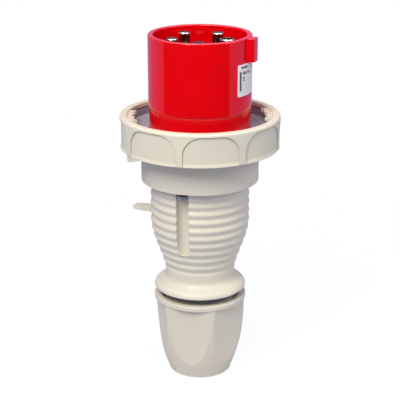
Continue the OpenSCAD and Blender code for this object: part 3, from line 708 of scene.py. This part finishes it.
def knurled_brass(colours):
    """Free cutting brass inserts with a knurl: yellow, with bright hollows between duller teeth."""
    tooth_pitch = 0.6 * MM
    material, tree, shader, place = start_material("brass_free_cutting", colours.brass, Metallic=1.0)
    teeth = add_node(tree, "TexVoronoi", {"Vector": place, "Scale": 1 / tooth_pitch})
    cut = add_node(tree, "Bump", {"Strength": 0.4, "Distance": 0.05 * MM, "Height": teeth.outputs[0]})
    gloss = add_node(
        tree, "MapRange", {"Value": teeth.outputs[0], "From Max": 0.6, "To Min": 0.22, "To Max": 0.4}
    )
    tree.links.new(gloss.outputs[0], shader.inputs["Roughness"])
    tree.links.new(cut.outputs[0], shader.inputs["Normal"])
    return material


def rubber(name, colour, bloom, roughness, details):
    """Vulcanised rubber, compression moulded: dull, with a fine tooth and a thin pale bloom in drifts,
    and edges that catch a soft grey light. bloom is the colour of the drifts. The tooth is under 0.1 mm
    on the real part and is drawn coarser."""
    bloom_size = 7 * MM
    tooth_size = 0.3 * MM
    material, tree, shader, place = start_material(
        name, colour, Roughness=roughness, IOR=1.5, Specular_IOR_Level=0.4
    )
    drift = add_node(
        tree, "TexNoise", {"Vector": place, "Scale": 1 / bloom_size, "Detail": 4, "Roughness": 0.6}
    )
    share = add_node(
        tree, "MapRange", {"Value": drift.outputs[0], "From Min": 0.35, "From Max": 0.75, "To Max": 0.7}
    )
    tone = add_node(
        tree,
        "Mix",
        {SHARE: share.outputs[0], FIRST: opaque(colour), SECOND: opaque(bloom)},
        data_type="RGBA",
    )
    tooth = add_node(
        tree, "TexNoise", {"Vector": place, "Scale": 1 / tooth_size, "Detail": 2, "Roughness": 0.7}
    )
    edge = add_node(tree, "Bevel", {"Radius": details.edge_round}, samples=EDGE_SAMPLES)
    skin = add_node(
        tree,
        "Bump",
        {"Strength": 0.3, "Distance": 0.03 * MM, "Height": tooth.outputs[0], "Normal": edge.outputs[0]},
    )
    tree.links.new(tone.outputs[MIXED], shader.inputs["Base Color"])
    tree.links.new(skin.outputs[0], shader.inputs["Normal"])
    return material


def label_film(colours):
    """Polyester film, screen printed, with a white border left bare round the pale grey field: smooth, half
    gloss, with a faint ripple where it was rubbed down."""
    border = 0.9 * MM
    ripple_size = 4 * MM
    material, tree, shader, place = start_material(
        "polyester_label_film", colours.label, Roughness=0.32, IOR=1.57
    )
    parts = add_node(tree, "SeparateXYZ", {"Vector": place})
    across, height = parts.outputs["Y"], parts.outputs["Z"]
    left = add_node(tree, "Math", {0: across, 1: LABEL_LOW[1] + border}, operation="LESS_THAN")
    right = add_node(tree, "Math", {0: across, 1: LABEL_HIGH[1] - border}, operation="GREATER_THAN")
    side = add_node(tree, "Math", {0: left.outputs[0], 1: right.outputs[0]}, operation="MAXIMUM")
    top = add_node(tree, "Math", {0: height, 1: LABEL_HIGH[2] - border}, operation="GREATER_THAN")
    foot = add_node(tree, "Math", {0: height, 1: LABEL_LOW[2] + border}, operation="LESS_THAN")
    ends = add_node(tree, "Math", {0: top.outputs[0], 1: foot.outputs[0]}, operation="MAXIMUM")
    bare = add_node(tree, "Math", {0: side.outputs[0], 1: ends.outputs[0]}, operation="MAXIMUM")
    tone = add_node(
        tree,
        "Mix",
        {SHARE: bare.outputs[0], FIRST: opaque(colours.label), SECOND: opaque(LABEL_BORDER)},
        data_type="RGBA",
    )
    ripple = add_node(
        tree, "TexNoise", {"Vector": place, "Scale": 1 / ripple_size, "Detail": 2, "Roughness": 0.5}
    )
    film = add_node(tree, "Bump", {"Strength": 0.2, "Distance": 0.02 * MM, "Height": ripple.outputs[0]})
    tree.links.new(tone.outputs[MIXED], shader.inputs["Base Color"])
    tree.links.new(film.outputs[0], shader.inputs["Normal"])
    return material


def printing_ink(colours):
    """Solvent ink laid down through a screen: nearly black, dull, with the mesh showing as a weak mottle.
    The mesh is about 0.1 mm on the real part and is drawn coarser."""
    mesh_pitch = 0.25 * MM
    material, tree, shader, place = start_material(
        "screen_ink_black", colours.ink, Roughness=0.5, IOR=1.5
    )
    mottle = add_node(
        tree, "TexNoise", {"Vector": place, "Scale": 1 / mesh_pitch, "Detail": 2, "Roughness": 0.6}
    )
    tone = add_node(
        tree,
        "Mix",
        {SHARE: mottle.outputs[0], FIRST: opaque(colours.ink), SECOND: opaque(INK_MOTTLE)},
        data_type="RGBA",
    )
    tree.links.new(tone.outputs[MIXED], shader.inputs["Base Color"])
    return material


def pale_floor(studio):
    """White painted board: it shows as plain white to the camera, keeps a share of its real light so that
    the plug's shadow stays, and fades out before its rim so that no edge shows against the white room.
    From below it is clear, so that the plug's foot can be seen."""
    material, tree, shader, place = start_material("painted_board_white", studio.board, Roughness=0.9)
    glow = add_node(tree, "Emission", {"Color": opaque(WHITE), "Strength": 1.0})
    clear = add_node(tree, "BsdfTransparent", {"Color": opaque(WHITE)})
    seen = camera_sees(tree)
    paint = add_node(
        tree,
        "Mix",
        {SHARE: seen, FIRST: opaque(studio.board), SECOND: opaque(WHITE)},
        data_type="RGBA",
    )
    tree.links.new(paint.outputs[MIXED], shader.inputs["Base Color"])
    share = add_node(tree, "Math", {0: seen, 1: FLOOR_WHITE}, operation="MULTIPLY")
    board = add_node(tree, "MixShader", {0: share.outputs[0], 1: shader.outputs[0], 2: glow.outputs[0]})
    out = add_node(tree, "VectorMath", {0: place}, operation="LENGTH")
    fade_start, fade_end = (part * studio.floor_radius for part in FLOOR_FADE)
    fade = add_node(
        tree, "MapRange", {"Value": out.outputs["Value"], "From Min": fade_start, "From Max": fade_end}
    )
    under = add_node(tree, "NewGeometry").outputs["Backfacing"]
    gone = add_node(tree, "Math", {0: fade.outputs[0], 1: under}, operation="MAXIMUM")
    blend = add_node(tree, "MixShader", {0: gone.outputs[0], 1: board.outputs[0], 2: clear.outputs[0]})
    tree.links.new(blend.outputs[0], tree.nodes["Material Output"].inputs["Surface"])
    return material


# Operators


class PLUG_OT_contact_sleeve(bpy.types.Operator):
    """Give the contact sleeve its polished red polyamide"""

    bl_idname = "plug.contact_sleeve"
    bl_label = "Contact Sleeve"

    def execute(self, context):
        colours, details = context.scene.plug_colours, context.scene.plug_details
        finish_nodes(red_polyamide(colours, details), "contact_sleeve")
        return {"FINISHED"}


class PLUG_OT_grey_mouldings(bpy.types.Operator):
    """Give the housing, the bayonet ring and the gland nut their satin grey polyamide"""

    bl_idname = "plug.grey_mouldings"
    bl_label = "Grey Mouldings"

    def execute(self, context):
        colours, details = context.scene.plug_colours, context.scene.plug_details
        for node, name, colour in (
            ("bayonet_ring", "polyamide_ring_satin", colours.ring),
            ("housing", "polyamide_housing_satin", colours.housing),
            ("gland_nut", "polyamide_nut_satin", colours.nut),
        ):
            finish_nodes(satin_polyamide(name, colour, colours.drift, details), node)
        return {"FINISHED"}


class PLUG_OT_inner_mouldings(bpy.types.Operator):
    """Give the pin carrier, the clamp cage, the lock plate and the slip ring their plastics"""

    bl_idname = "plug.inner_mouldings"
    bl_label = "Inner Mouldings"

    def execute(self, context):
        colours, details = context.scene.plug_colours, context.scene.plug_details
        finish_nodes(filled_polyamide(colours, details), "pin_carrier", "clamp_cage")
        finish_nodes(acetal(colours, details), "lock_plate", "slip_ring")
        return {"FINISHED"}


class PLUG_OT_contacts(bpy.types.Operator):
    """Give each contact its nickel plating, with turning lines round its own axis"""

    bl_idname = "plug.contacts"
    bl_label = "Contacts"

    def execute(self, context):
        colours, details = context.scene.plug_colours, context.scene.plug_details
        for name in CONTACTS:
            finish_nodes(turned_nickel(name, colours, details), name)
        return {"FINISHED"}


class PLUG_OT_fasteners(bpy.types.Operator):
    """Give the screws their zinc plating and the threaded inserts their brass"""

    bl_idname = "plug.fasteners"
    bl_label = "Fasteners"

    def execute(self, context):
        colours = context.scene.plug_colours
        finish_nodes(zinc_steel(colours), "assembly_screws", "plate_screws", "terminal_screws")
        finish_nodes(knurled_brass(colours), "threaded_inserts")
        return {"FINISHED"}


class PLUG_OT_rubber_parts(bpy.types.Operator):
    """Give the gasket, the seals, the ring on the neck and the washers their rubbers"""

    bl_idname = "plug.rubber_parts"
    bl_label = "Rubber Parts"

    def execute(self, context):
        colours, details = context.scene.plug_colours, context.scene.plug_details
        gasket = rubber("chloroprene_purple_grey", colours.gasket, GASKET_BLOOM, 0.5, details)
        finish_nodes(gasket, "face_gasket")
        seals = rubber("nitrile_dark_grey", colours.rubber, SEAL_BLOOM, 0.42, details)
        finish_nodes(seals, "neck_ring", "housing_seal", "gland_seal")
        washers = rubber("nitrile_black", colours.washer, WASHER_BLOOM, 0.6, details)
        finish_nodes(washers, "screw_washers")
        return {"FINISHED"}


class PLUG_OT_label(bpy.types.Operator):
    """Give the label its film and print plain bars and boxes on it"""

    bl_idname = "plug.label"
    bl_label = "Label"

    def execute(self, context):
        colours, details = context.scene.plug_colours, context.scene.plug_details
        finish_nodes(label_film(colours), "rating_label")
        heights = np.array(LADDER_BARS)
        tops = LADDER_TOP - np.concatenate([[0], np.cumsum(heights + LADDER_GAP)[:-1]])
        left, right = np.full(len(heights), LADDER_LEFT), np.full(len(heights), LADDER_RIGHT)
        ladder = np.stack([left, right, tops - heights, tops], -1)
        patches = np.concatenate([ladder, np.array(PRINT_BARS)]) * MM
        patches[:, 2:] += LABEL_HIGH[2]
        vertices, faces = wrapped_patches(patches, LABEL_HIGH[0] + details.print_thickness, steps=8)
        ink = printing_ink(colours)
        piece = add_piece("label_print", vertices, faces.tolist(), ink, "plug", smooth=True)
        wall = piece.modifiers.new("ink", "SOLIDIFY")
        wall.thickness = details.print_thickness
        wall.offset = -1
        return {"FINISHED"}


class PLUG_OT_contact_marks(bpy.types.Operator):
    """Raise the usual marks of the five poles on the pin face, each beside its contact"""

    bl_idname = "plug.contact_marks"
    bl_label = "Contact Marks"

    def execute(self, context):
        details = context.scene.plug_details
        size, relief = details.mark_size, details.mark_relief
        for name, text, direction in LETTER_MARKS:
            self.stand_mark(name, *raised_letters(text, size, relief), direction, details)
        bars = np.array(EARTH_BARS) * size
        self.stand_mark("mark_earth", *raised_bars(bars, relief), EARTH_DIRECTION, details)
        return {"FINISHED"}

    def stand_mark(self, name, vertices, faces, direction, details):
        """Turns a flat mark so that its top points away from the axis, and stands it on the pin face: x
        runs across the direction, and y outwards along it, from the mark circle."""
        a = np.radians(direction)
        across, out = np.array([np.sin(a), -np.cos(a)]), np.array([np.cos(a), np.sin(a)])
        ground = vertices[:, :1] * across + (vertices[:, 1:2] + details.mark_circle) * out
        level = vertices[:, 2:] + PIN_FACE_Z + details.mark_relief / 2
        placed = np.concatenate([ground, level], 1)
        red = NODES["contact_sleeve"].material_slots[0].material
        add_piece(name, placed, faces, red, "plug", smooth=False)


class PLUG_OT_stage(bpy.types.Operator):
    """Lay the pale floor, hang the lights, light the room and set up the camera"""

    bl_idname = "plug.stage"
    bl_label = "Stage, Light and Camera"

    def execute(self, context):
        scene, studio = context.scene, context.scene.plug_studio
        scene.view_settings.view_transform = "Standard"
        out = Vector((np.cos(studio.azimuth), np.sin(studio.azimuth), 0))
        side = Vector((-out.y, out.x, 0))
        self.lay_floor(scene, studio)
        self.hang_lamps(scene, studio, out, side)
        self.light_room(scene, studio, out, side)
        self.set_camera(scene, studio, out)
        return {"FINISHED"}

    def lay_floor(self, scene, studio):
        """A round board under the plug."""
        vertices, quads, middle = disc(studio.floor_radius, rings=24, sectors=64)
        mesh = bpy.data.meshes.new("floor")
        mesh.from_pydata(vertices.tolist(), [], quads.tolist() + middle.tolist())
        mesh.materials.append(pale_floor(studio))
        floor = bpy.data.objects.new("floor", mesh)
        scene.collection.objects.link(floor)

    def hang_lamps(self, scene, studio, out, side):
        """Three soft boxes that point at the plug. out is the level direction to the camera, and side
        points to the camera's right."""
        for kind, size, (across, towards, up) in LAMPS:
            lamp = bpy.data.lights.new(kind + "_light", "AREA")
            lamp.shape = "RECTANGLE"
            lamp.size, lamp.size_y = size
            lamp.energy = getattr(studio, kind)
            lamp.color = studio.warm
            light = bpy.data.objects.new(kind + "_light", lamp)
            light.location = side * across + out * towards + Vector((0, 0, up))
            view = Vector((0, 0, LAMP_AIM)) - light.location
            light.rotation_euler = view.to_track_quat("-Z", "Y").to_euler()
            light.visible_camera = False
            scene.collection.objects.link(light)

    def light_room(self, scene, studio, out, side):
        """The world is plain white where the camera looks past the plug, and an even light on the plug.
        Gloss sees low pale screens beside and behind the plug, a pale ceiling, and a dim room between
        them and in front of the plug. The screens' share is taken from the dot product of the level
        direction with the room's own front, which is turned a little to the left, and from the height of
        the direction."""
        world = bpy.data.worlds.new("studio")
        scene.world = world
        world.use_nodes = True
        tree = world.node_tree
        tree.nodes.clear()
        direction = add_node(tree, "TexCoord").outputs["Generated"]
        height = add_node(tree, "SeparateXYZ", {"Vector": direction}).outputs["Z"]
        level = add_node(tree, "VectorMath", {0: direction, 1: (1, 1, 0)}, operation="MULTIPLY")
        unit = add_node(tree, "VectorMath", {0: level.outputs[0]}, operation="NORMALIZE")
        front = tuple((out - FRONT_TURN * side).normalized())
        facing = add_node(tree, "VectorMath", {0: unit.outputs[0], 1: front}, operation="DOT_PRODUCT")
        start, end = SCREEN_SIDES
        screen = add_node(
            tree,
            "MapRange",
            {
                "Value": facing.outputs["Value"],
                "From Min": start,
                "From Max": end,
                "To Max": studio.walls,
            },
        )
        start, end = SCREEN_TOP
        low = add_node(
            tree,
            "MapRange",
            {"Value": height, "From Min": start, "From Max": end, "To Min": 1.0, "To Max": 0.0},
        )
        sides = add_node(tree, "Math", {0: screen.outputs[0], 1: low.outputs[0]}, operation="MULTIPLY")
        start, end = CEILING_EDGE
        above = add_node(tree, "MapRange", {"Value": height, "From Min": start, "From Max": end})
        walls = add_node(
            tree,
            "Mix",
            {SHARE: sides.outputs[0], FIRST: opaque([studio.front] * 3), SECOND: opaque(studio.screens)},
            data_type="RGBA",
        )
        ceiling = opaque(studio.ceiling * c for c in studio.warm)
        gloss = add_node(
            tree,
            "Mix",
            {SHARE: above.outputs[0], FIRST: walls.outputs[MIXED], SECOND: ceiling},
            data_type="RGBA",
        )
        glossy_ray = add_node(tree, "LightPath").outputs["Is Glossy Ray"]
        room = opaque(studio.room * c for c in studio.cool)
        unseen = add_node(
            tree, "Mix", {SHARE: glossy_ray, FIRST: room, SECOND: gloss.outputs[MIXED]}, data_type="RGBA"
        )
        colour = add_node(
            tree,
            "Mix",
            {SHARE: camera_sees(tree), FIRST: unseen.outputs[MIXED], SECOND: opaque(WHITE)},
            data_type="RGBA",
        )
        sky = add_node(tree, "Background", {"Color": colour.outputs[MIXED], "Strength": 1.0})
        add_node(tree, "OutputWorld", {"Surface": sky.outputs[0]})

    def set_camera(self, scene, studio, out):
        """The photograph's view, from above and to the front, at a point on the plug's axis."""
        view = bpy.data.cameras.new("camera")
        view.sensor_width = 36
        view.lens = studio.lens
        view.clip_start = 0.01
        camera = bpy.data.objects.new("camera", view)
        camera.location = out * studio.camera_out + Vector((0, 0, studio.camera_up))
        aim = Vector((0, 0, studio.aim_up))
        camera.rotation_euler = (aim - camera.location).to_track_quat("-Z", "Y").to_euler()
        scene.collection.objects.link(camera)
        scene.camera = camera


class PLUG_PT_panel(bpy.types.Panel):
    """Lists the plug's pieces, finishes and studio in the sidebar"""

    bl_idname = "PLUG_PT_panel"
    bl_label = "Pin and Sleeve Plug"
    bl_space_type = "VIEW_3D"
    bl_region_type = "UI"
    bl_category = "Plug"

    def draw(self, context):
        for operator in OPERATORS:
            self.layout.operator(operator.bl_idname)
        for group in (context.scene.plug_colours, context.scene.plug_details, context.scene.plug_studio):
            box = self.layout.box()
            for name in group.__annotations__:
                box.prop(group, name)


OPERATORS = (
    PLUG_OT_contact_sleeve,
    PLUG_OT_grey_mouldings,
    PLUG_OT_inner_mouldings,
    PLUG_OT_contacts,
    PLUG_OT_fasteners,
    PLUG_OT_rubber_parts,
    PLUG_OT_label,
    PLUG_OT_contact_marks,
    PLUG_OT_stage,
)
GROUPS = (PlugColours, PlugDetails, PlugStudio)


def register():
    for cls in GROUPS + OPERATORS + (PLUG_PT_panel,):
        bpy.utils.register_class(cls)
    bpy.types.Scene.plug_colours = PointerProperty(type=PlugColours)
    bpy.types.Scene.plug_details = PointerProperty(type=PlugDetails)
    bpy.types.Scene.plug_studio = PointerProperty(type=PlugStudio)


def unregister():
    del bpy.types.Scene.plug_studio
    del bpy.types.Scene.plug_details
    del bpy.types.Scene.plug_colours
    for cls in reversed(GROUPS + OPERATORS + (PLUG_PT_panel,)):
        bpy.utils.unregister_class(cls)


def main():
    """Makes the whole scene in the panel's order."""
    register()
    for operator in OPERATORS:
        getattr(bpy.ops.plug, operator.bl_idname.split(".")[1])()


if __name__ == "__main__":
    main()
